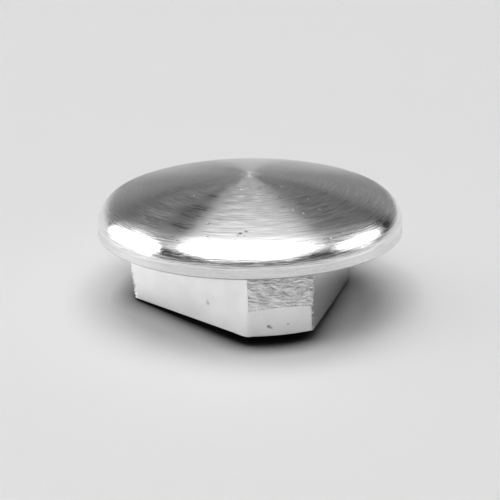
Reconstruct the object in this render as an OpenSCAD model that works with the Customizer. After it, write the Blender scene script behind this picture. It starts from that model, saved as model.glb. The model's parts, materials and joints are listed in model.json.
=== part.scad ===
// Drive-in plug for the open end of a railing pipe.
// One casting: a crowned round head over a triangular insert. The crown, the rim
// and the insert's corners are then turned on a lathe, and the flats stay as cast.
// The origin is the centre of the insert's base, +Z runs up through the crown,
// and one corner of the insert points along -Y.

/* [Pipe] */
// Bore of the pipe that the insert is driven into
pipe_bore = 38.1; // [32:0.1:44]
// How much wider than the bore the turned corners are
drive_fit = 0.1; // [0:0.02:0.3]

/* [Head] */
// Diameter of the head, flush with the outside of the pipe
head_d = 48.3; // [42:0.1:58]
// Height of the upright wall of the rim
rim_h = 1.5; // [0.6:0.1:4]
// Radius of the round between the rim's wall and the crown
edge_r = 4.5; // [1:0.1:9]
// Radius of the crown
crown_r = 65; // [40:1:150]
// Chamfer on the rim's lower edge
rim_break = 0.15; // [0.1:0.05:0.5]

/* [Insert] */
// Length of the insert below the head
insert_l = 11.2; // [8:0.1:18]
// Distance from the axis to each flat, at the base
flat_dist = 13.5; // [10:0.1:15.5]
// Draft of the flats, in degrees
flat_draft = 1.5; // [0.5:0.1:4]
// Radius of the fillet between a flat and the underside of the head
root_r = 0.8; // [0.3:0.1:2]
// Height of the cast lead-in below the turned part of a corner
lead_l = 4.8; // [2:0.1:7]
// How far a corner draws in over that height
lead_set = 0.75; // [0.3:0.05:1.5]
// How far beyond the axis the centre of a cast corner's curve lies
corner_shift = 2.3; // [0:0.1:5]
// Chamfer round the base
base_break = 0.1; // [0.05:0.05:0.8]

/* [Hidden] */

$fn = 180;
corners = 3;
corner_turn = 360 / corners;
first_corner = -90;

// Head
head_r = head_d / 2;
shoulder_z = insert_l;
rim_top_z = shoulder_z + rim_h;
edge_x = head_r - edge_r;
crown_z = rim_top_z - sqrt(pow(crown_r - edge_r, 2) - pow(edge_x, 2));
crown_edge_angle = atan2(rim_top_z - crown_z, edge_x);
crown_foot_x = (shoulder_z - crown_z) / tan(crown_edge_angle);
apex_z = crown_z + crown_r;

// Insert
land_r = (pipe_bore + drive_fit) / 2;
corner_r = land_r + corner_shift;
corner_base_r = corner_r - lead_set;
lead_slope = lead_set / lead_l;
draft_slope = tan(flat_draft);
flat_root_x = flat_dist + insert_l * draft_slope;
root_angle = 180 - flat_draft;
root_x = flat_root_x + root_r * tan(45 - flat_draft / 2);
root_z = shoulder_z - root_r;
cut_l = 2 * head_r;
overlap = 1;

// A slice of a disc, from one angle to another less than 180 degrees on
module disc_slice(r, from, to) {
    reach = 2 * r / cos((to - from) / 2);
    intersection() {
        circle(r);
        polygon([
            [0, 0],
            reach * [cos(from), sin(from)],
            reach * [cos((from + to) / 2), sin((from + to) / 2)],
            reach * [cos(to), sin(to)]
        ]);
    }
}

// Half section of the head: the crown over its foot, the round, and the rim
module head_section() {
    intersection() {
        translate([0, crown_z]) disc_slice(crown_r, crown_edge_angle, 90);
        translate([0, shoulder_z]) square([head_r, apex_z]);
    }
    translate([edge_x, rim_top_z]) disc_slice(edge_r, 0, crown_edge_angle);
    polygon([
        [crown_foot_x, shoulder_z],
        [head_r - rim_break, shoulder_z],
        [head_r, shoulder_z + rim_break],
        [head_r, rim_top_z],
        [edge_x, rim_top_z]
    ]);
}

module head() {
    rotate_extrude() head_section();
}

// Round blank of one cast corner: it draws in towards the base and is chamfered there.
// Its curve is flatter than the turned land, so the land's lower edge is a low arch.
module corner_blank() {
    top_z = shoulder_z + overlap;
    translate([-corner_shift, 0])
        rotate_extrude()
            polygon([
                [0, 0],
                [corner_base_r - base_break, 0],
                [corner_base_r + base_break * lead_slope, base_break],
                [corner_base_r + top_z * lead_slope, top_z],
                [0, top_z]
            ]);
}

// Section of the space beside a flat: base chamfer, drafted face and root fillet
module flat_section() {
    far_x = head_r + overlap;
    tangent = [root_x, root_z] + root_r * [cos(root_angle), sin(root_angle)];
    polygon([
        [flat_dist - base_break, -overlap],
        [flat_dist - base_break, 0],
        [flat_dist + base_break * draft_slope, base_break],
        tangent,
        [root_x, root_z],
        [root_x, shoulder_z],
        [far_x, shoulder_z],
        [far_x, -overlap]
    ]);
    translate([root_x, root_z]) disc_slice(root_r, 90, root_angle);
}

module flat_cut() {
    rotate([90, 0, 0]) linear_extrude(height = cut_l, center = true) flat_section();
}

// What a blank's copies, one turned to each corner, have in common
module common_to_corners() {
    intersection_for (i = [0 : corners - 1])
        rotate(first_corner + i * corner_turn) children();
}

module insert() {
    difference() {
        intersection() {
            cylinder(r = land_r, h = shoulder_z);
            common_to_corners() corner_blank();
        }
        for (i = [0 : corners - 1])
            rotate(first_corner + (i + 0.5) * corner_turn) flat_cut();
    }
}

module plug_body() {
    color("lightgray")
        union() {
            head();
            insert();
        }
}

plug_body();
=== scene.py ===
import json
import math

import bmesh
import bpy
import numpy as np
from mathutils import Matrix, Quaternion, Vector
from mathutils import noise as wander


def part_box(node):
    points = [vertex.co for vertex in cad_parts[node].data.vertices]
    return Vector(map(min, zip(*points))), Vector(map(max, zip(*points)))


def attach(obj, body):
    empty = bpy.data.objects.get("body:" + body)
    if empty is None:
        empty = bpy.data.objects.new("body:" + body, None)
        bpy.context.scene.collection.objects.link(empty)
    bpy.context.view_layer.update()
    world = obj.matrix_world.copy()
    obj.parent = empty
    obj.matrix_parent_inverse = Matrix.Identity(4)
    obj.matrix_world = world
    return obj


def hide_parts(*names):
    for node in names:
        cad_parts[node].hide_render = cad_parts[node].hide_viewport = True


mm = 0.001

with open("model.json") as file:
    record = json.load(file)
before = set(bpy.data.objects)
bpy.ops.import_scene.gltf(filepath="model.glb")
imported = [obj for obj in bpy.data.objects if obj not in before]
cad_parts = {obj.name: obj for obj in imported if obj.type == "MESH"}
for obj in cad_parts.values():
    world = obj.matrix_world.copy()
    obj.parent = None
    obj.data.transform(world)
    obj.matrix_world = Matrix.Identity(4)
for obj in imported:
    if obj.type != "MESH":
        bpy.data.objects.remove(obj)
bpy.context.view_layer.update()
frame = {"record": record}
plugLow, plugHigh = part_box("plug_body")
mounts = {mount["name"]: mount for mount in frame["record"]["mounts"]}
print("frame loaded:", [round(x / mm, 2) for x in plugHigh - plugLow], "mm")


# Camera, at the photograph's viewing angle

view = {
    "azimuth": -14.3,  # degrees from -Y, to the right
    "elevation": 18.53,
    "roll": -0.49,
    "distance": 336.4 * mm,
    "aim": Vector((-0.047, 0.012, 7.83)) * mm,
    "sensor": 36.0,  # width in millimetres
    "lens": 151.7,  # focal length in millimetres
    "nearest": 10 * mm,
    "farthest": 40.0,
}


def directionTo(azimuth, elevation):
    a = math.radians(azimuth)
    e = math.radians(elevation)
    return Vector((math.sin(a) * math.cos(e), -math.cos(a) * math.cos(e), math.sin(e)))


def makeCamera():
    data = bpy.data.cameras.new("photoCamera")
    data.sensor_width = view["sensor"]
    data.lens = view["lens"]
    data.clip_start = view["nearest"]
    data.clip_end = view["farthest"]
    camera = bpy.data.objects.new("photoCamera", data)
    bpy.context.scene.collection.objects.link(camera)
    back = directionTo(view["azimuth"], view["elevation"])
    camera.location = view["aim"] + back * view["distance"]
    camera.rotation_mode = "QUATERNION"
    roll = Quaternion((0, 0, 1), math.radians(view["roll"]))
    camera.rotation_quaternion = (-back).to_track_quat("-Z", "Y") @ roll
    bpy.context.scene.camera = camera
    print("camera at", [round(x / mm, 1) for x in camera.location], "mm")


makeCamera()


# Small helpers for node trees

def connect(tree, node, inputs):
    for key, value in inputs.items():
        if isinstance(value, bpy.types.NodeSocket):
            tree.links.new(value, node.inputs[key])
        else:
            node.inputs[key].default_value = value


def addNode(tree, kind, inputs=None, **settings):
    node = tree.nodes.new(kind)
    for name, value in settings.items():
        setattr(node, name, value)
    connect(tree, node, inputs or {})
    return node


def calc(tree, operation, a, b=0.0, c=0.0):
    return addNode(tree, "ShaderNodeMath", {0: a, 1: b, 2: c}, operation=operation).outputs[0]


def vectorCalc(tree, operation, a, b=(0, 0, 0), scale=None):
    inputs = {0: a, 1: b} if scale is None else {0: a, "Scale": scale}
    node = addNode(tree, "ShaderNodeVectorMath", inputs, operation=operation)
    return node.outputs["Value" if operation in ("LENGTH", "DOT_PRODUCT") else "Vector"]


def axisOf(tree, place, axis):
    return addNode(tree, "ShaderNodeSeparateXYZ", {0: place}).outputs[axis]


def remap(tree, value, low, high, toLow, toHigh, interpolation="LINEAR"):
    inputs = {0: value, 1: low, 2: high, 3: toLow, 4: toHigh}
    return addNode(tree, "ShaderNodeMapRange", inputs, interpolation_type=interpolation).outputs[0]


def newGroup(name, sockets):
    tree = bpy.data.node_groups.new(name, "GeometryNodeTree")
    identifiers = {}
    for label, kind in sockets:
        item = tree.interface.new_socket(name=label, in_out="INPUT", socket_type="NodeSocket" + kind)
        identifiers[label] = item.identifier
    tree.interface.new_socket(name="Geometry", in_out="OUTPUT", socket_type="NodeSocketGeometry")
    given = tree.nodes.new("NodeGroupInput").outputs
    result = tree.nodes.new("NodeGroupOutput").inputs["Geometry"]
    return tree, identifiers, given, result


# Finishes of the metal

noiseSpan = (0.3, 0.7)  # nearly all of a noise lies between these values


def newFinish(name):
    material = bpy.data.materials.new(name)
    material.use_nodes = True
    tree = material.node_tree
    shader = tree.nodes["Principled BSDF"]
    shader.inputs["Metallic"].default_value = 1
    return material, tree, shader


def objectMillimetres(tree):
    place = addNode(tree, "ShaderNodeTexCoord").outputs["Object"]
    return vectorCalc(tree, "SCALE", place, scale=1 / mm)


def noise(tree, place, scale, detail=2.0, roughness=0.5):
    inputs = {"Vector": place, "Scale": scale, "Detail": detail, "Roughness": roughness}
    return addNode(tree, "ShaderNodeTexNoise", inputs).outputs[0]


def grey(tree, value):
    return addNode(tree, "ShaderNodeCombineColor", {0: value, 1: value, 2: value}).outputs[0]


def painted(tree, name):
    return addNode(tree, "ShaderNodeAttribute", attribute_name=name).outputs["Fac"]


lineDetail = {"broad": 2.0, "fine": 3.0}
lineRoughness = 0.6


def turnedLines(tree, place, settings):
    # two noises drawn out along the circles of the lathe, the broad one and the fine one
    flat = vectorCalc(tree, "MULTIPLY", place, (1, 1, 0))
    radius = vectorCalc(tree, "LENGTH", flat)
    around = vectorCalc(tree, "NORMALIZE", flat)
    height = axisOf(tree, place, "Z")
    profile = calc(tree, "SUBTRACT", radius, height)  # grows down the profile from the apex to the shoulder
    lines = {}
    for size, detail in lineDetail.items():
        turned = vectorCalc(tree, "SCALE", around, scale=settings[size + "Arcs"])
        along = calc(tree, "MULTIPLY", profile, settings[size + "Lines"])
        down = addNode(tree, "ShaderNodeCombineXYZ", {2: along}).outputs[0]
        lines[size] = noise(tree, vectorCalc(tree, "ADD", turned, down), 1.0, detail, lineRoughness)
    return lines["broad"], lines["fine"], height


def turnedShader(tree, shader, settings, broad, fine):
    wide = addNode(tree, "ShaderNodeBump", {"Height": broad, "Distance": settings["broadDepth"]})
    narrow = addNode(tree, "ShaderNodeBump", {"Height": fine, "Distance": settings["fineDepth"],
                                              "Normal": wide.outputs[0]})
    tree.links.new(narrow.outputs[0], shader.inputs["Normal"])
    tangent = addNode(tree, "ShaderNodeTangent", direction_type="RADIAL", axis="Z")
    tree.links.new(tangent.outputs[0], shader.inputs["Tangent"])
    shader.inputs["Anisotropic"].default_value = settings["anisotropy"]
    shader.inputs["Anisotropic Rotation"].default_value = 0.25  # a quarter turn, across the lines


def turnedFinish(name, settings):
    material, tree, shader = newFinish(name)
    broad, fine, height = turnedLines(tree, objectMillimetres(tree), settings)
    shade = remap(tree, fine, *noiseSpan, *settings["tone"])
    # painted shade: dark dashes along the rim's lower edge
    edge = remap(tree, height, *settings["edgeHeights"], 0.0, settings["edgeShade"])
    edge = calc(tree, "MULTIPLY", edge, remap(tree, broad, *settings["edgeDashes"], 0.0, 1.0))
    shade = calc(tree, "MULTIPLY", shade, calc(tree, "SUBTRACT", 1.0, edge))
    tree.links.new(grey(tree, shade), shader.inputs["Base Color"])
    tree.links.new(remap(tree, broad, *noiseSpan, *settings["roughness"]), shader.inputs["Roughness"])
    turnedShader(tree, shader, settings, broad, fine)
    return material


def darkenPits(tree, shade):
    pit = calc(tree, "MULTIPLY_ADD", painted(tree, "pit"), -marks["shade"], 1.0)
    return calc(tree, "MULTIPLY", shade, pit)


def headFinish(name, settings):
    # the crown's turned finish, darkened towards the apex as painted shade, which grows brighter and smoother
    # down the edge round
    material, tree, shader = newFinish(name)
    place = objectMillimetres(tree)
    broad, fine, height = turnedLines(tree, place, settings)
    start, end = settings["polishHeights"]
    polish = remap(tree, height, start, end, 0.0, 1.0, "SMOOTHSTEP")
    clear = remap(tree, axisOf(tree, place, "Y"), *settings["clearReach"], 1.0, settings["backLines"])
    clear = calc(tree, "MAXIMUM", clear, polish)  # how clear the lines are
    apex, crown, edge = settings["tone"]
    # painted shade: the crown's colour darkens from its edge up to the apex
    shade = remap(tree, height, head["top"] / mm, start, apex, crown)
    # painted highlight: a lighter spot at the apex
    nib = remap(tree, height, *settings["apexHighlightHeights"], 0.0, settings["apexHighlightTone"])
    shade = calc(tree, "ADD", shade, nib)
    shade = calc(tree, "MULTIPLY_ADD", polish, calc(tree, "SUBTRACT", edge, shade), shade)
    swing = remap(tree, fine, *noiseSpan, -settings["toneSwing"], settings["toneSwing"])
    shade = calc(tree, "MULTIPLY", shade, calc(tree, "MULTIPLY_ADD", swing, clear, 1.0))
    streak = remap(tree, fine, *settings["smearStreaks"], 0.0, 1.0)
    smear = calc(tree, "MULTIPLY", painted(tree, "smear"), streak)
    dark = calc(tree, "MULTIPLY", smear, settings["smearDepth"])
    shade = calc(tree, "MULTIPLY", shade, calc(tree, "SUBTRACT", 1.0, dark))
    tree.links.new(grey(tree, darkenPits(tree, shade)), shader.inputs["Base Color"])
    apex, crown, edge = settings["roughness"]
    rough = remap(tree, height, head["top"] / mm, start, apex, crown)
    rough = calc(tree, "MULTIPLY_ADD", polish, calc(tree, "SUBTRACT", edge, rough), rough)
    swing = remap(tree, fine, *noiseSpan, -settings["roughSwing"], settings["roughSwing"])
    swing = calc(tree, "MULTIPLY_ADD", swing, clear, 1.0)
    tree.links.new(calc(tree, "MULTIPLY", rough, swing), shader.inputs["Roughness"])
    calm = calc(tree, "MULTIPLY", clear, calc(tree, "MULTIPLY_ADD", polish, -settings["polishCalm"], 1.0))
    broad = calc(tree, "MULTIPLY", broad, calm)
    fine = calc(tree, "MULTIPLY", fine, calm)
    turnedShader(tree, shader, settings, broad, fine)
    return material


def castFinish(name, settings):
    # the insert's clouded, grainy finish, with one smoother flat that carries painted shade, and painted
    # shade and light in the lands' tears
    material, tree, shader = newFinish(name)
    place = objectMillimetres(tree)
    cloud = noise(tree, place, settings["clouds"], settings["cloudDetail"])
    grain = noise(tree, place, settings["grain"], settings["grainDetail"], settings["grainRoughness"])
    shade = remap(tree, cloud, *noiseSpan, *settings["tone"])
    reach = vectorCalc(tree, "DOT_PRODUCT", place, tuple(directionTo(settings["smoothFace"], 0)))
    # painted shade: the smoother flat is darkened, more towards the back
    paintedShadeTone = remap(tree, axisOf(tree, place, "Y"), *settings["paintedShadeFade"], *settings["paintedShadeTone"])
    shade = calc(tree, "MULTIPLY", shade, remap(tree, reach, *settings["smoothReach"], 1.0, paintedShadeTone))
    # painted shade and light: the lands' colour follows the depth of their tears
    depthShade = calc(tree, "MULTIPLY_ADD", painted(tree, "depthShade"), settings["depthShadeTone"], 1.0)
    shade = calc(tree, "MULTIPLY", shade, depthShade)
    tree.links.new(grey(tree, darkenPits(tree, shade)), shader.inputs["Base Color"])
    rough = remap(tree, reach, *settings["smoothReach"], *settings["roughness"])
    swing = remap(tree, grain, *noiseSpan, 1 - settings["roughSwing"], 1 + settings["roughSwing"])
    tree.links.new(calc(tree, "MULTIPLY", rough, swing), shader.inputs["Roughness"])
    bump = addNode(tree, "ShaderNodeBump", {"Height": grain, "Distance": settings["grainDepth"]})
    tree.links.new(bump.outputs[0], shader.inputs["Normal"])
    return material


headSettings = {
    "broadArcs": 2.5, "fineArcs": 5.0,  # how often the lines change along a circle
    "broadLines": 1.1, "fineLines": 4.0,  # lines per millimetre
    "broadDepth": 0.04 * mm, "fineDepth": 0.05 * mm,
    "polishHeights": (17.0, 14.8),  # the polish sets in between these heights, in millimetres
    "tone": (0.56, 0.7, 0.9), "toneSwing": 0.26,  # at the apex, the crown's edge and the round; the darker apex is painted shade
    "clearReach": (-10.0, 2.0), "backLines": 0.35,  # the lines fade to this share between these Y
    "apexHighlightHeights": (20.42, 20.475), "apexHighlightTone": 0.6,  # a painted highlight: the lighter spot at the apex
    "roughness": (0.36, 0.33, 0.16), "roughSwing": 0.18,
    "smearDepth": 0.75, "smearStreaks": (0.42, 0.58),  # smears lie on the lines from these values on
    "polishCalm": 0.3,  # how far the polish takes the lines away
    "anisotropy": 0.85,
}
wallSettings = {
    "broadArcs": 1.5, "fineArcs": 2.5, "broadLines": 1.5, "fineLines": 6.0,
    "broadDepth": 0.015 * mm, "fineDepth": 0.01 * mm,
    "tone": (0.75, 0.87), "roughness": (0.22, 0.3), "anisotropy": 0.7,
    "edgeHeights": (11.42, 11.34), "edgeShade": 0.5,  # painted shade in dashes along the lower edge, heights in millimetres
    "edgeDashes": (0.4, 0.6),  # they lie on the broad lines from these values on
}
undersideSettings = {
    **wallSettings,
    "broadArcs": 2.0, "fineArcs": 5.0, "broadLines": 1.2, "fineLines": 4.0,
    "broadDepth": 0.02 * mm, "fineDepth": 0.01 * mm,
    "tone": (0.74, 0.88), "roughness": (0.3, 0.4), "anisotropy": 0.6,
    "edgeShade": 0.0,
}
castSettings = {
    "clouds": 0.25, "cloudDetail": 3.0,  # clouds and grains per millimetre
    "grain": 3.0, "grainDetail": 2.0, "grainRoughness": 0.6, "grainDepth": 0.003 * mm,
    "tone": (0.88, 0.95), "depthShadeTone": 0.0, "roughness": (0.52, 0.26), "roughSwing": 0.06,
    "smoothFace": 60.0,  # the flat at this azimuth came out of the mould smoother, and its colour carries painted shade
    "smoothReach": (13.2, 13.4),  # that flat lies beyond these distances from the axis
    "paintedShadeFade": (-13.0, 0.0), "paintedShadeTone": (0.78, 0.5),  # and that painted shade deepens between these Y, front to back
}
landSettings = {
    **castSettings,
    "clouds": 0.8, "grain": 5.0, "grainDepth": 0.01 * mm,
    "tone": (0.68, 0.82), "depthShadeTone": 1.8, "roughness": (0.34, 0.34), "roughSwing": 0.1,
    "paintedShadeTone": (1.0, 1.0),
}


# The plug: a turned head over a three-cornered insert

casting = {
    "weld": 0.0005 * mm,
    "hardAngle": math.radians(28),  # edges from this angle on are hard
}

head = {
    "radius": (plugHigh.x - plugLow.x) / 2,
    "top": plugHigh.z - 0.03 * mm,  # the nib at the apex takes up the rest
    "shoulder": mounts["pipe_end_seat"]["pos_m"][2],
    "rimHeight": 1.5 * mm,
    "edgeRadius": 4.5 * mm,
    "rimChamfer": 0.15 * mm,
    "columns": 320,
    "crownRings": 76,
    "edgeRings": 32,
    "wallRings": 5,
    "ripplePitch": 0.9 * mm,
    "rippleDepth": 0.001 * mm,
}

insert = {
    "corners": 3,
    "landRadius": 19.1 * mm,
    "flatDistance": 13.5 * mm,  # from the axis to a flat, at the base
    "flatDraft": math.radians(1.5),
    "rootRadius": 0.8 * mm,
    "leadHeight": 4.8 * mm,
    "leadSet": 0.75 * mm,  # how far a corner draws in over that height
    "cornerShift": 2.3 * mm,  # the cast corner's centre lies this far beyond the axis
    "baseChamfer": 0.1 * mm,
    "flatColumns": 24,
    "cornerColumns": 96,
    "filletRows": 4,
    "landRows": 80,
    "leadRows": 24,
    "crowding": 1.6,  # the flats' columns crowd towards the corners
    "edgePasses": 30,  # they settle where a land's lower edge meets a flat
    "burrColumns": 3,
    "burrDrop": 0.7,  # how much weaker the burr is beside the land
    "softColumns": 8,  # the other edge is worn round below the land
    "softPasses": 40,
    "softFactor": 0.5,
}

chatter = {
    # torn strokes of the interrupted cut on the lands: how often a stroke changes along the circle
    # and down the land, per millimetre, and its detail
    "tears": (0.5, 4.4, 0.7),
    "tearDepth": 0.13 * mm,
    "creases": (0.6, 3.6, 0.5),
    "creaseDepth": 0.1 * mm,
    "creaseWidth": 0.05,
    "creaseShade": 0.2,
    "slant": 0.12,  # the strokes climb by this much along the circle
    "wander": (0.5, 0.4, 1.0),  # and stray from that line
    "wanderReach": 1.2,
    "roughness": 0.6,
    "seed": 4.0,
    "footDepth": 0.05 * mm,  # groove along the lands' lower edges
    "footShade": 0.5,
    "waves": 0.15 / mm,  # slight waviness of the cast faces
    "waveDepth": 0.01 * mm,
    "nicks": 3.4 / mm,  # ragged edge on the side where the cut leaves a corner
    "burrDepth": 1.5 * mm,
    "burrLevel": 0.55,  # nicks below this level are cut in, and those above it stand out
    "burrDark": 0.45,
}

marks = {
    # dents and, with a depth below zero, small raised specks: a point on the casting in millimetres,
    # the mark's radius and its depth
    "crown": [
        (-6.44, -19.13, 17.3, 0.3, 0.1), (-5.43, -18.93, 17.4, 0.26, 0.08), (-6.0, -19.9, 17.1, 0.22, 0.05),
        (-6.9, -19.6, 17.1, 0.2, 0.05), (-7.5, -20.4, 16.7, 0.22, 0.04), (-11.2, -18.1, 16.9, 0.22, 0.06),
        (-11.05, -18.8, 16.6, 0.2, 0.05), (-10.4, -15.1, 17.8, 0.26, 0.06), (-0.1, -6.7, 20.1, 0.24, 0.04),
        (2.2, -10.65, 19.6, 0.26, 0.04), (6.8, -21.65, 16.0, 0.26, 0.05),
        (4.4, -15.7, 18.4, 0.24, -0.04), (7.3, -14.6, 18.4, 0.3, -0.03), (3.1, -14.7, 18.7, 0.2, -0.03),
        (-10.3, -5.5, 19.4, 0.22, -0.03), (-18.7, -7.7, 17.3, 0.22, -0.03), (3.4, -6.4, 20.1, 0.26, -0.03),
        (-16.8, -10.8, 17.3, 0.2, -0.02), (-11.1, -6.9, 19.2, 0.18, -0.02), (6.3, -11.4, 19.1, 0.2, -0.02),
        (-1.7, -1.7, 20.4, 0.24, -0.02), (-0.9, 0.2, 20.4, 0.2, -0.02), (-3.0, -6.5, 20.1, 0.2, -0.02),
        (-1.5, -6.4, 20.1, 0.22, 0.03), (2.7, 1.9, 20.4, 0.2, -0.02), (0.0, 0.0, 20.5, 0.4, -0.03),
    ],
    "insert": [
        (-9.54, -10.66, 3.4, 0.36, 0.06), (-9.6, -10.56, 3.8, 0.3, 0.03), (-1.89, -18.52, 1.6, 0.34, 0.16),
        (-1.55, -18.55, 1.45, 0.24, 0.06), (1.09, -18.61, 1.8, 0.22, 0.06), (-3.17, -18.64, 3.4, 0.15, -0.02),
    ],
    "spread": 1.7,  # faces within this many radii are divided
    "cuts": 3,
    "finest": 0.25,  # edges shorter than this share of a radius are left whole
    "divided": 0.8,  # only faces that point the mark's way are divided, by this cosine
    "pressed": 0.5,  # and moved, by this one
    "limit": 2.0,  # radii beyond which nothing moves
    "ragged": 0.5, "raggedScale": 0.9,  # how far the marks are from round
    "shade": 0.75,  # how dark the middle of a dent is, and how light a speck, as painted highlight
    "fullDepth": 0.1 * mm,  # shallower dents are less dark
    "speckHighlightTone": 0.9,
}

smears = {
    # dark, streaky patches on the crown: centre in millimetres, half length along the circle,
    # half width across it, strength
    "patches": [
        (-7.8, -7.1, 1.0, 0.7, 1.0), (-10.7, -9.9, 1.3, 0.6, 0.8), (-12.4, -11.6, 1.8, 0.7, 0.9),
        (-14.7, -13.0, 1.9, 0.6, 0.8), (-14.35, -14.9, 1.2, 0.6, 0.6), (-11.6, -11.2, 2.4, 4.5, 0.75),
        (-12.6, -9.2, 1.6, 0.9, 0.5), (-9.6, -10.9, 1.5, 0.9, 0.5), (-13.4, -14.2, 1.4, 0.9, 0.5),
        (-0.1, -6.7, 0.5, 0.4, 0.6), (2.2, -10.65, 0.6, 0.4, 0.6), (8.6, -17.45, 2.4, 0.22, 0.8),
        (4.4, -15.7, 1.2, 1.2, 0.4),
    ],
}


finishes = {
    "Head": headFinish("turnedHead", headSettings),
    "Wall": turnedFinish("turnedRim", wallSettings),
    "Cast": castFinish("castFace", castSettings),
    "Land": castFinish("turnedLand", landSettings),
    "Underside": turnedFinish("turnedUnderside", undersideSettings),
}
print("finishes made:", ", ".join(m.name for m in finishes.values()))


def flatDistanceAt(z):
    slope = math.tan(insert["flatDraft"])
    rootX = insert["flatDistance"] + head["shoulder"] * slope
    rootX += insert["rootRadius"] * math.tan(math.pi / 4 - insert["flatDraft"] / 2)
    rootZ = head["shoulder"] - insert["rootRadius"]
    if z > rootZ + insert["rootRadius"] * math.sin(insert["flatDraft"]):
        return rootX - math.sqrt(max(insert["rootRadius"] ** 2 - (z - rootZ) ** 2, 0))
    return insert["flatDistance"] + z * slope


def leadRadiusAt(z):
    base = insert["landRadius"] + insert["cornerShift"] - insert["leadSet"]
    return base + z * insert["leadSet"] / insert["leadHeight"]


def landEndAt(phi):
    reach = np.sqrt(insert["landRadius"] ** 2 + insert["cornerShift"] ** 2
                    + 2 * insert["landRadius"] * insert["cornerShift"] * np.cos(phi))
    return (reach - leadRadiusAt(0)) * insert["leadHeight"] / insert["leadSet"]


def cornerEdge(distance, leadRadius):
    # half width of a flat, and the angle from the corner's axis to the flat's edge
    shift = insert["cornerShift"]
    turned = math.sqrt(insert["landRadius"] ** 2 - distance ** 2)
    cast = math.sqrt(leadRadius ** 2 - (distance + shift / 2) ** 2) - shift * math.sqrt(3) / 2
    width = min(turned, cast)
    return width, math.pi / 3 - math.atan2(width, distance)


def insertRow(zEdge, zCorner, distance, leadRadius):
    # one row of the third round the corner that points along -Y, from mid-flat to mid-flat
    width, edgeAngle = cornerEdge(distance, leadRadius(zEdge))
    normal = np.array([math.cos(math.pi / 6), -math.sin(math.pi / 6)])
    along = np.array([-math.sin(math.pi / 6), -math.cos(math.pi / 6)])
    share = 1 - np.linspace(0, 1, insert["flatColumns"] + 1)[1:, None] ** insert["crowding"]
    flat = distance * normal + share * width * along
    right = np.column_stack([flat, np.full(len(flat), zEdge)])
    left = right[::-1] * [-1, 1, 1]
    phi = np.linspace(-edgeAngle, edgeAngle, insert["cornerColumns"] + 1)
    z = zCorner(phi)
    shift = insert["cornerShift"]
    cast = np.sqrt(leadRadius(z) ** 2 - (shift * np.sin(phi)) ** 2) - shift * np.cos(phi)
    reach = np.minimum(cast, insert["landRadius"])
    corner = np.column_stack([reach * np.sin(phi), -reach * np.cos(phi), z])
    return np.vstack([left, corner, right])


def insertThird():
    rows = []
    kinds = []
    chamfer = insert["baseChamfer"]
    rootTop = head["shoulder"]
    rootEnd = rootTop - insert["rootRadius"] * (1 - math.sin(insert["flatDraft"]))
    edgeEnd = landEndAt(0)
    for _ in range(insert["edgePasses"]):
        edgeEnd = landEndAt(cornerEdge(flatDistanceAt(edgeEnd), leadRadiusAt(edgeEnd))[1])
    for step in range(insert["filletRows"]):
        turn = step / insert["filletRows"] * (math.pi / 2 - insert["flatDraft"])
        z = rootTop - insert["rootRadius"] * (1 - math.cos(turn))
        rows.append(insertRow(z, lambda phi, z=z: np.full_like(phi, z), flatDistanceAt(z), leadRadiusAt))
        kinds.append(1.0)
    for step in range(insert["landRows"] + 1):
        share = step / insert["landRows"]
        z = rootEnd + share * (edgeEnd - rootEnd)
        rows.append(insertRow(z, lambda phi, share=share: rootEnd + share * (landEndAt(phi) - rootEnd),
                              flatDistanceAt(z), leadRadiusAt))
        kinds.append(1.0)
    for step in range(1, insert["leadRows"] + 1):
        share = step / insert["leadRows"]
        z = edgeEnd + share * (chamfer - edgeEnd)
        rows.append(insertRow(z, lambda phi, share=share: landEndAt(phi) + share * (chamfer - landEndAt(phi)),
                              flatDistanceAt(z), leadRadiusAt))
        kinds.append(0.0)
    rows.append(insertRow(0.0, lambda phi: np.zeros_like(phi), insert["flatDistance"] - chamfer,
                          lambda z: leadRadiusAt(0) - chamfer + 0 * z))
    kinds.append(0.0)
    points = np.array(rows)
    rowCount, columnCount = points.shape[:2]
    faces = []
    for row in range(rowCount - 1):
        for column in range(columnCount - 1):
            first = row * columnCount + column
            faces.append((first, first + columnCount, first + columnCount + 1, first + 1))
    mesh = bpy.data.meshes.new("insertThird")
    mesh.from_pydata(points.reshape(-1, 3).tolist(), [], faces)
    onCorner = np.zeros(columnCount)
    start = insert["flatColumns"]
    onCorner[start:start + insert["cornerColumns"] + 1] = 1
    fromBurr = abs(np.arange(columnCount) - start - insert["cornerColumns"])
    onBurr = np.maximum(1 - fromBurr / insert["burrColumns"], 0)
    onSoft = np.zeros(columnCount)
    onSoft[start - insert["softColumns"]:start + insert["softColumns"] + 1] = 1
    turned = np.array(kinds)
    foot = np.zeros(rowCount)
    foot[insert["filletRows"] + insert["landRows"]] = 1
    ragged = 1 - insert["burrDrop"] * turned
    ragged[-2:] = 0  # the base stays flat
    fields = {
        "land": np.outer(turned, onCorner),
        "corner": np.outer(np.ones(rowCount), onCorner),
        "foot": np.outer(foot, onCorner),
        "burr": np.outer(ragged, onBurr),
        "soft": np.outer(1 - turned, onSoft),
    }
    for label, field in fields.items():
        mesh.attributes.new(label, "FLOAT", "POINT").data.foreach_set("value", field.ravel())
    third = bpy.data.objects.new("insertThird", mesh)
    bpy.context.scene.collection.objects.link(third)
    return third


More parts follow.
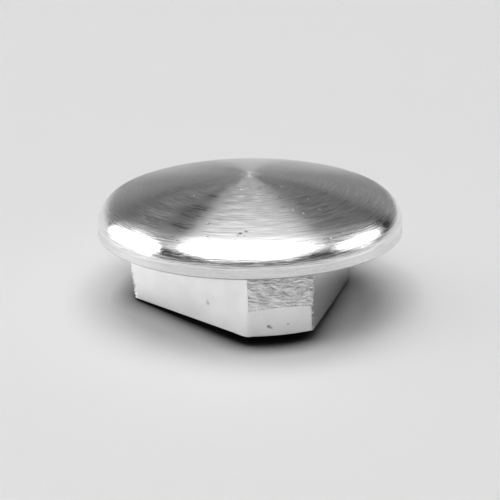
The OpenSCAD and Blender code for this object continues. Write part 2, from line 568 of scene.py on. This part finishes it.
def latheBandGroup():
    # a band swept round the axis; Reach and Height are fields of the grid's X, from -0.5 to 0.5
    tree, _, given, result = newGroup("latheBand", [
        ("Rings", "Int"), ("Columns", "Int"), ("Reach", "Float"), ("Height", "Float"),
        ("Material", "Material")])
    closed = calc(tree, "ADD", given["Columns"], 1.0)
    grid = addNode(tree, "GeometryNodeMeshGrid", {
        "Size X": 1.0, "Size Y": 1.0, "Vertices X": given["Rings"], "Vertices Y": closed})
    position = tree.nodes.new("GeometryNodeInputPosition").outputs[0]
    turn = calc(tree, "MULTIPLY", calc(tree, "ADD", axisOf(tree, position, "Y"), 0.5), 2 * math.pi)
    x = calc(tree, "MULTIPLY", given["Reach"], calc(tree, "COSINE", turn))
    y = calc(tree, "MULTIPLY", given["Reach"], calc(tree, "SINE", turn))
    spot = addNode(tree, "ShaderNodeCombineXYZ", {0: x, 1: y, 2: given["Height"]}).outputs[0]
    moved = addNode(tree, "GeometryNodeSetPosition", {"Geometry": grid.outputs["Mesh"], "Position": spot})
    coated = addNode(tree, "GeometryNodeSetMaterial", {
        "Geometry": moved.outputs[0], "Material": given["Material"]})
    tree.links.new(coated.outputs[0], result)
    return tree


def castingGroup():
    # the head's bands, and the insert's third turned to each corner, welded into one casting
    tree, identifiers, given, result = newGroup("plugCasting", [
        ("Third", "Geometry"), ("Corners", "Int"), ("Columns", "Int"), ("Crown Rings", "Int"),
        ("Edge Rings", "Int"), ("Wall Rings", "Int"), ("Head Radius", "Float"), ("Top", "Float"),
        ("Shoulder", "Float"), ("Rim Height", "Float"), ("Edge Radius", "Float"), ("Rim Chamfer", "Float"),
        ("Ripple Pitch", "Float"), ("Ripple Depth", "Float"), ("Tear Depth", "Float"),
        ("Crease Depth", "Float"), ("Foot Depth", "Float"), ("Wave Depth", "Float"), ("Burr Depth", "Float"),
        ("Seed", "Float"),
        ("Head", "Material"), ("Wall", "Material"), ("Cast", "Material"), ("Land", "Material")])
    position = tree.nodes.new("GeometryNodeInputPosition").outputs[0]
    along = calc(tree, "ADD", axisOf(tree, position, "X"), 0.5)
    latheBand = latheBandGroup()
    bands = []

    def between(first, last):
        return calc(tree, "MULTIPLY_ADD", calc(tree, "SUBTRACT", last, first), along, first)

    def addBand(rings, reach, height, material):
        band = tree.nodes.new("GeometryNodeGroup")
        band.node_tree = latheBand
        connect(tree, band, {"Rings": rings, "Columns": given["Columns"], "Reach": reach, "Height": height,
                             "Material": material})
        bands.append(band.outputs[0])

    # the crown runs tangent into the edge round, which fixes its radius
    rimTop = calc(tree, "ADD", given["Shoulder"], given["Rim Height"])
    rise = calc(tree, "SUBTRACT", given["Top"], rimTop)
    edgeX = calc(tree, "SUBTRACT", given["Head Radius"], given["Edge Radius"])
    squares = calc(tree, "MULTIPLY_ADD", rise, rise, calc(tree, "MULTIPLY", edgeX, edgeX))
    edgeSquare = calc(tree, "MULTIPLY", given["Edge Radius"], given["Edge Radius"])
    squares = calc(tree, "SUBTRACT", squares, edgeSquare)
    excess = calc(tree, "SUBTRACT", rise, given["Edge Radius"])
    crownRadius = calc(tree, "DIVIDE", squares, calc(tree, "MULTIPLY", excess, 2.0))
    crownCentre = calc(tree, "SUBTRACT", given["Top"], crownRadius)
    crownEnd = calc(tree, "ARCTAN2", calc(tree, "SUBTRACT", rimTop, crownCentre), edgeX)

    angle = between(math.pi / 2, crownEnd)
    length = calc(tree, "MULTIPLY", calc(tree, "SUBTRACT", angle, crownEnd), crownRadius)
    turns = calc(tree, "DIVIDE", calc(tree, "MULTIPLY", length, 2 * math.pi), given["Ripple Pitch"])
    rippled = calc(tree, "MULTIPLY_ADD", calc(tree, "SINE", turns), given["Ripple Depth"], crownRadius)
    addBand(given["Crown Rings"], calc(tree, "MULTIPLY", rippled, calc(tree, "COSINE", angle)),
            calc(tree, "MULTIPLY_ADD", rippled, calc(tree, "SINE", angle), crownCentre), given["Head"])
    angle = between(crownEnd, 0.0)
    edgeRadius = given["Edge Radius"]
    addBand(given["Edge Rings"], calc(tree, "MULTIPLY_ADD", edgeRadius, calc(tree, "COSINE", angle), edgeX),
            calc(tree, "MULTIPLY_ADD", edgeRadius, calc(tree, "SINE", angle), rimTop), given["Head"])
    wallFoot = calc(tree, "ADD", given["Shoulder"], given["Rim Chamfer"])
    lowerRadius = calc(tree, "SUBTRACT", given["Head Radius"], given["Rim Chamfer"])
    addBand(given["Wall Rings"], given["Head Radius"], between(rimTop, wallFoot), given["Wall"])
    addBand(2, between(given["Head Radius"], lowerRadius), between(wallFoot, given["Shoulder"]),
            given["Wall"])

    # the third, once for each corner
    spots = addNode(tree, "GeometryNodePoints", {"Count": given["Corners"]})
    index = tree.nodes.new("GeometryNodeInputIndex").outputs[0]
    turn = calc(tree, "DIVIDE", calc(tree, "MULTIPLY", index, 2 * math.pi), given["Corners"])
    rotation = addNode(tree, "ShaderNodeCombineXYZ", {2: turn}).outputs[0]
    copies = addNode(tree, "GeometryNodeInstanceOnPoints", {
        "Points": spots.outputs[0], "Instance": given["Third"], "Rotation": rotation})
    whole = addNode(tree, "GeometryNodeRealizeInstances", {"Geometry": copies.outputs[0]})
    welded = addNode(tree, "GeometryNodeMergeByDistance", {
        "Geometry": whole.outputs[0], "Distance": casting["weld"]})

    # chatter of the interrupted cut on the turned lands, and a slight waviness of the cast faces
    bearing = calc(tree, "ARCTAN2", axisOf(tree, position, "Y"), axisOf(tree, position, "X"))
    around = calc(tree, "MULTIPLY", bearing, insert["landRadius"] / mm)
    height = calc(tree, "MULTIPLY", axisOf(tree, position, "Z"), 1 / mm)

    def strokes(line, across, down, detail):
        across = calc(tree, "MULTIPLY", around, across)
        down = calc(tree, "MULTIPLY", line, down)
        spot = addNode(tree, "ShaderNodeCombineXYZ", {0: across, 1: down, 2: given["Seed"]}).outputs[0]
        return noise(tree, spot, 1.0, detail, chatter["roughness"])

    def swingOf(value, middle=0.5):
        return calc(tree, "SUBTRACT", value, middle)

    slanted = calc(tree, "MULTIPLY_ADD", around, chatter["slant"], height)
    bent = calc(tree, "MULTIPLY_ADD", strokes(slanted, *chatter["wander"]), chatter["wanderReach"], slanted)
    tears = swingOf(strokes(bent, *chatter["tears"]))
    creases = calc(tree, "ABSOLUTE", swingOf(strokes(bent, *chatter["creases"])))
    waves = noise(tree, position, chatter["waves"], 1.0)
    nicks = noise(tree, position, chatter["nicks"], 1.0)
    land, corner, foot, burr = [addNode(tree, "GeometryNodeInputNamedAttribute", {"Name": label}).outputs[0]
                                for label in ("land", "corner", "foot", "burr")]
    valley = remap(tree, creases, 0.0, chatter["creaseWidth"], -1.0, 0.0)
    cut = calc(tree, "MULTIPLY_ADD", valley, given["Crease Depth"],
               calc(tree, "MULTIPLY", tears, given["Tear Depth"]))
    cut = calc(tree, "MULTIPLY", cut, land)
    cut = calc(tree, "MULTIPLY_ADD", foot, calc(tree, "MULTIPLY", given["Foot Depth"], -1.0), cut)
    swell = calc(tree, "MULTIPLY", swingOf(waves), given["Wave Depth"])
    swell = calc(tree, "MULTIPLY", swell, calc(tree, "SUBTRACT", 1.0, corner))
    ragged = calc(tree, "MULTIPLY", swingOf(nicks, chatter["burrLevel"]), given["Burr Depth"])
    swell = calc(tree, "MULTIPLY_ADD", ragged, burr, swell)
    # painted shade and light: the colour is darkened where the tears, creases, foot groove and nicks lie
    # deep, and lightened where the tears stand out
    depthShade = calc(tree, "MULTIPLY_ADD", valley, chatter["creaseShade"], tears)
    depthShade = calc(tree, "MULTIPLY_ADD", foot, -chatter["footShade"], calc(tree, "MULTIPLY", depthShade, land))
    pit = remap(tree, nicks, chatter["burrLevel"], chatter["burrDark"], 0.0, 1.0)
    noted = welded.outputs[0]
    for label, value in (("depthShade", depthShade), ("pit", calc(tree, "MULTIPLY", pit, burr))):
        noted = addNode(tree, "GeometryNodeStoreNamedAttribute", {
            "Geometry": noted, "Name": label, "Value": value}, data_type="FLOAT", domain="POINT").outputs[0]
    outward = tree.nodes.new("GeometryNodeInputNormal").outputs[0]
    push = vectorCalc(tree, "SCALE", outward, scale=calc(tree, "ADD", cut, swell))
    rough = addNode(tree, "GeometryNodeSetPosition", {"Geometry": noted, "Offset": push})
    cast = addNode(tree, "GeometryNodeSetMaterial", {"Geometry": rough.outputs[0], "Material": given["Cast"]})
    # a face takes the land's finish where all its points are on the land
    onLand = addNode(tree, "FunctionNodeCompare", {0: land, 1: 0.99}, operation="GREATER_THAN").outputs[0]
    turned = addNode(tree, "GeometryNodeSetMaterial", {
        "Geometry": cast.outputs[0], "Selection": onLand, "Material": given["Land"]})
    joined = addNode(tree, "GeometryNodeJoinGeometry")
    for band in bands:
        tree.links.new(band, joined.inputs[0])
    headWeld = addNode(tree, "GeometryNodeMergeByDistance", {
        "Geometry": joined.outputs[0], "Distance": casting["weld"]})
    both = addNode(tree, "GeometryNodeJoinGeometry")
    tree.links.new(headWeld.outputs[0], both.inputs[0])
    tree.links.new(turned.outputs[0], both.inputs[0])
    real = addNode(tree, "GeometryNodeRealizeInstances", {"Geometry": both.outputs[0]})
    tree.links.new(real.outputs[0], result)
    return tree, identifiers


def pressMark(build, pit, place, radius, depth):
    # divides the faces round a point of the casting and presses them in
    centre = min(build.verts, key=lambda vert: (vert.co - place).length_squared)
    normal = centre.normal.copy()
    place = place - normal * (place - centre.co).dot(normal)
    reach = radius * marks["spread"]

    def isNear(vert):
        return (vert.co - place).length < reach and vert.normal.dot(normal) > marks["divided"]

    edges = [edge for edge in build.edges
             if any(isNear(vert) for vert in edge.verts) and edge.calc_length() > radius * marks["finest"]]
    bmesh.ops.subdivide_edges(build, edges=edges, cuts=marks["cuts"], use_grid_fill=True)
    build.normal_update()
    for vert in build.verts:
        share = (vert.co - place).length / radius
        if share < marks["limit"] and vert.normal.dot(normal) > marks["pressed"]:
            share *= 1 + marks["ragged"] * wander.noise(vert.co * marks["raggedScale"] / radius)
            fade = max(1 - share ** 2, 0)
            vert.co -= normal * depth * fade ** 2
            if depth > 0:
                vert[pit] = max(vert[pit], fade * min(depth / marks["fullDepth"], 1))
            else:
                # painted highlight: a raised speck is lightened
                vert[pit] = min(vert[pit], -fade * marks["speckHighlightTone"])


def paintSmears(mesh):
    points = np.empty(len(mesh.vertices) * 3)
    mesh.vertices.foreach_get("co", points)
    x, y, z = points.reshape(-1, 3).T / mm
    radius = np.hypot(x, y)
    angle = np.arctan2(y, x)
    smear = np.zeros(len(x))
    for centreX, centreY, halfLength, halfWidth, strength in smears["patches"]:
        reach = math.hypot(centreX, centreY)
        turn = (angle - math.atan2(centreY, centreX) + math.pi) % (2 * math.pi) - math.pi
        smear += strength * np.exp(-(turn * reach / halfLength) ** 2 - ((radius - reach) / halfWidth) ** 2)
    smear[z < (head["shoulder"] + head["rimHeight"]) / mm] = 0
    mesh.attributes.new("smear", "FLOAT", "POINT").data.foreach_set("value", np.minimum(smear, 1))


def closeCasting(mesh):
    # fills the shoulder and the base, and sets the hard edges
    order = list(finishes.values())
    given = list(mesh.materials)
    slot = {name: index for index, name in enumerate(finishes)}
    build = bmesh.new()
    build.from_mesh(mesh)
    for face in build.faces:
        face.material_index = order.index(given[face.material_index])
    openEdges = [edge for edge in build.edges if edge.is_boundary]
    middle = head["shoulder"] / 2
    shoulder = [edge for edge in openEdges if edge.verts[0].co.z > middle]
    base = [edge for edge in openEdges if edge.verts[0].co.z < middle]
    ring = bmesh.ops.bridge_loops(build, edges=shoulder)["faces"]
    end = bmesh.ops.contextual_create(build, geom=base)["faces"]
    for face in ring:
        face.material_index = slot["Underside"]
    for face in end:
        face.material_index = slot["Cast"]
    bmesh.ops.recalc_face_normals(build, faces=build.faces[:])
    soft = build.verts.layers.float["soft"]
    worn = [vert for vert in build.verts if vert[soft] > 0.5]
    for _ in range(insert["softPasses"]):
        bmesh.ops.smooth_vert(build, verts=worn, factor=insert["softFactor"],
                              use_axis_x=True, use_axis_y=True, use_axis_z=False)
    pit = build.verts.layers.float["pit"]
    for mark in marks["crown"] + marks["insert"]:
        pressMark(build, pit, Vector(mark[:3]) * mm, mark[3] * mm, mark[4] * mm)
    landPair = {slot["Land"], slot["Cast"]}
    for face in build.faces:
        face.smooth = True
    for edge in build.edges:
        pair = {face.material_index for face in edge.link_faces}
        edge.smooth = edge.calc_face_angle(0) < casting["hardAngle"] and pair != landPair
    loose = sum(edge.is_boundary for edge in build.edges)
    print("casting:", len(build.faces), "faces, of them", len(ring), "in the shoulder and", len(end),
          "in the base, open edges:", loose)
    mesh.materials.clear()
    for material in order:
        mesh.materials.append(material)
    build.to_mesh(mesh)
    build.free()


def makePlug():
    third = insertThird()
    tree, identifiers = castingGroup()
    modifier = third.modifiers.new("plugCasting", "NODES")
    modifier.node_group = tree
    values = {
        "Corners": insert["corners"], "Columns": head["columns"], "Crown Rings": head["crownRings"],
        "Edge Rings": head["edgeRings"], "Wall Rings": head["wallRings"], "Head Radius": head["radius"],
        "Top": head["top"], "Shoulder": head["shoulder"], "Rim Height": head["rimHeight"],
        "Edge Radius": head["edgeRadius"], "Rim Chamfer": head["rimChamfer"],
        "Ripple Pitch": head["ripplePitch"], "Ripple Depth": head["rippleDepth"],
        "Tear Depth": chatter["tearDepth"], "Crease Depth": chatter["creaseDepth"],
        "Foot Depth": chatter["footDepth"], "Wave Depth": chatter["waveDepth"],
        "Burr Depth": chatter["burrDepth"], "Seed": chatter["seed"],
    }
    values.update({name: finishes[name] for name in ("Head", "Wall", "Cast", "Land")})
    for label, value in values.items():
        modifier[identifiers[label]] = value
    depsgraph = bpy.context.evaluated_depsgraph_get()
    mesh = bpy.data.meshes.new_from_object(third.evaluated_get(depsgraph))
    bpy.data.objects.remove(third)
    mesh.name = "plugCasting"
    closeCasting(mesh)
    paintSmears(mesh)
    plug = bpy.data.objects.new("plugCasting", mesh)
    bpy.context.scene.collection.objects.link(plug)
    return plug


plug = makePlug()
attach(plug, "root")
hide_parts("plug_body")


# Studio: a pale table and soft boxes round it

table = {
    "size": 16.0,
    "tone": 0.82,
    "roughness": 0.7,
    "specular": 0.2,
    "lean": math.radians(3.5),  # the plug rests on its two back corners, and its front corner stands clear
    "contact": 9.3 * mm,  # Y of the line that it rests on
    "contactReach": 4.5 * mm,  # the shadow under the insert's edges deepens within this distance
    "contactSamples": 8,
    "contactShade": (0.38, 0.97),
    "lightReach": (2 * mm, 10 * mm),  # light comes in under the insert's edge from these X on
    "lightShade": 0.12,
}

softBoxes = {
    # azimuth from the camera's side and elevation of the panel's facing; its distance; how far it
    # reaches across, down and up; its brightness; and what it lights
    "frontLow": (-1.2, 45, 1.5, 1.0, 0.765, -0.402, 1.15, "metal"),
    "frontSheet": (-1.2, 45, 1.5, 1.26, 0.402, 0.0, 1.2, "metal"),
    "slopingSheet": (-1.2, 45, 1.5, 1.42, 0.0, 0.9, 1.65, "metal"),
    "topSheet": (-1.2, 45, 1.5, 1.17, -0.9, 1.95, 0.85, "metal"),
    "backSheet": (1.8, 45, 1.5, 1.17, -1.95, 7.05, 1.65, "metal"),
    "leftBox": (-102.4, 10.2, 2.4, 1.45, 0.95, 0.95, 3.1, "metal"),
    "rightBox": (94, 21.7, 2.4, 1.04, 0.63, 0.63, 1.7, "metal"),
    "leftLink": (-65, 40, 2.4, 0.5, 0.38, 0.38, 0.65, "metal"),
    "rightLink": (68, 39, 2.4, 0.55, 0.38, 0.38, 0.3, "metal"),
    "leftHigh": (-95, 52, 2.4, 1.2, 0.56, 0.66, 0.24, "metal"),
    "rightHigh": (105, 54, 2.4, 1.2, 0.56, 0.66, 0.16, "metal"),
    "backStrip": (180.4, 5, 2.4, 0.27, 0.21, 0.21, 1.1, "metal"),
    "backStripLeft": (-150, 5, 2.4, 0.75, 0.21, 0.21, 0.3, "metal"),
    "backLowLeft": (-158, 14, 2.4, 1.0, 0.42, 0.42, 0.18, "metal"),
    "backLowRight": (160, 17, 2.4, 0.9, 0.42, 0.42, 0.22, "metal"),
    "backHigh": (180, 42, 2.4, 1.8, 0.5, 0.54, 0.04, "metal"),
    "keyTop": (0, 90, 2.0, 0.77, 0.77, 0.77, 2.54, "table"),
    "keyFront": (0, 62, 2.0, 0.65, 0.42, 0.42, 1.45, "table"),
    "keyFrontLeft": (-60, 64, 2.0, 0.65, 0.36, 0.36, 0.59, "table"),
    "keyFrontRight": (60, 62, 2.0, 0.65, 0.42, 0.42, 0.54, "table"),
    "keyBackLeft": (-120, 64, 2.0, 0.65, 0.36, 0.36, 0.38, "table"),
    "keyBackRight": (120, 62, 2.0, 0.65, 0.42, 0.42, 0.4, "table"),
    "keyLeft": (-95, 40, 2.0, 1.2, 0.54, 0.54, 0.59, "table"),
}
ovalBoxes = {"leftBox": 33.8, "rightBox": -5.0}  # degrees that each is rolled, far side down
roomTone = 0.02


def makeTable():
    half = table["size"] / 2
    slope = math.tan(table["lean"])
    mesh = bpy.data.meshes.new("table")
    corners = [(x * half, y * half, (y * half - table["contact"]) * slope)
               for x, y in ((-1, -1), (1, -1), (1, 1), (-1, 1))]
    mesh.from_pydata(corners, [], [(0, 1, 2, 3)])
    top = bpy.data.objects.new("table", mesh)
    bpy.context.scene.collection.objects.link(top)
    material = bpy.data.materials.new("paleTable")
    material.use_nodes = True
    tree = material.node_tree
    shader = tree.nodes["Principled BSDF"]
    near = addNode(tree, "ShaderNodeAmbientOcclusion", {"Distance": table["contactReach"]},
                   samples=table["contactSamples"]).outputs["AO"]
    place = addNode(tree, "ShaderNodeTexCoord").outputs["Object"]
    darkest, lightest = table["contactShade"]
    darkest = remap(tree, axisOf(tree, place, "X"), *table["lightReach"], darkest, table["lightShade"])
    tone = remap(tree, near, darkest, lightest, 0.0, table["tone"])
    tree.links.new(grey(tree, tone), shader.inputs["Base Color"])
    shader.inputs["Roughness"].default_value = table["roughness"]
    shader.inputs["Specular IOR Level"].default_value = table["specular"]
    mesh.materials.append(material)


def makeSoftBox(name, azimuth, elevation, distance, across, down, up, brightness, lights):
    light = bpy.data.lights.new(name, "AREA")
    light.shape = "ELLIPSE" if name in ovalBoxes else "RECTANGLE"
    light.size = 2 * across
    light.size_y = down + up
    area = light.size * light.size_y * (math.pi / 4 if name in ovalBoxes else 1)
    light.energy = 4 * brightness * area  # a panel's brightness is a quarter of its power per area
    box = bpy.data.objects.new(name, light)
    bpy.context.scene.collection.objects.link(box)
    facing = directionTo(view["azimuth"] + azimuth, elevation)
    upward = directionTo(view["azimuth"] + azimuth, elevation + 90)
    box.location = facing * distance + upward * (up - down) / 2
    box.rotation_mode = "QUATERNION"
    roll = Quaternion((0, 0, 1), math.radians(ovalBoxes.get(name, 0)))
    box.rotation_quaternion = (-facing).to_track_quat("-Z", "Y") @ roll
    box.visible_camera = False
    box.visible_diffuse = lights != "metal"
    box.visible_glossy = lights != "table"


makeTable()
for name, values in softBoxes.items():
    makeSoftBox(name, *values)
world = bpy.data.worlds.new("room")
world.use_nodes = True
world.node_tree.nodes["Background"].inputs["Color"].default_value = (roomTone, roomTone, roomTone, 1)
bpy.context.scene.world = world
bpy.context.scene.view_settings.view_transform = "Standard"
print("studio lit by", ", ".join(softBoxes))
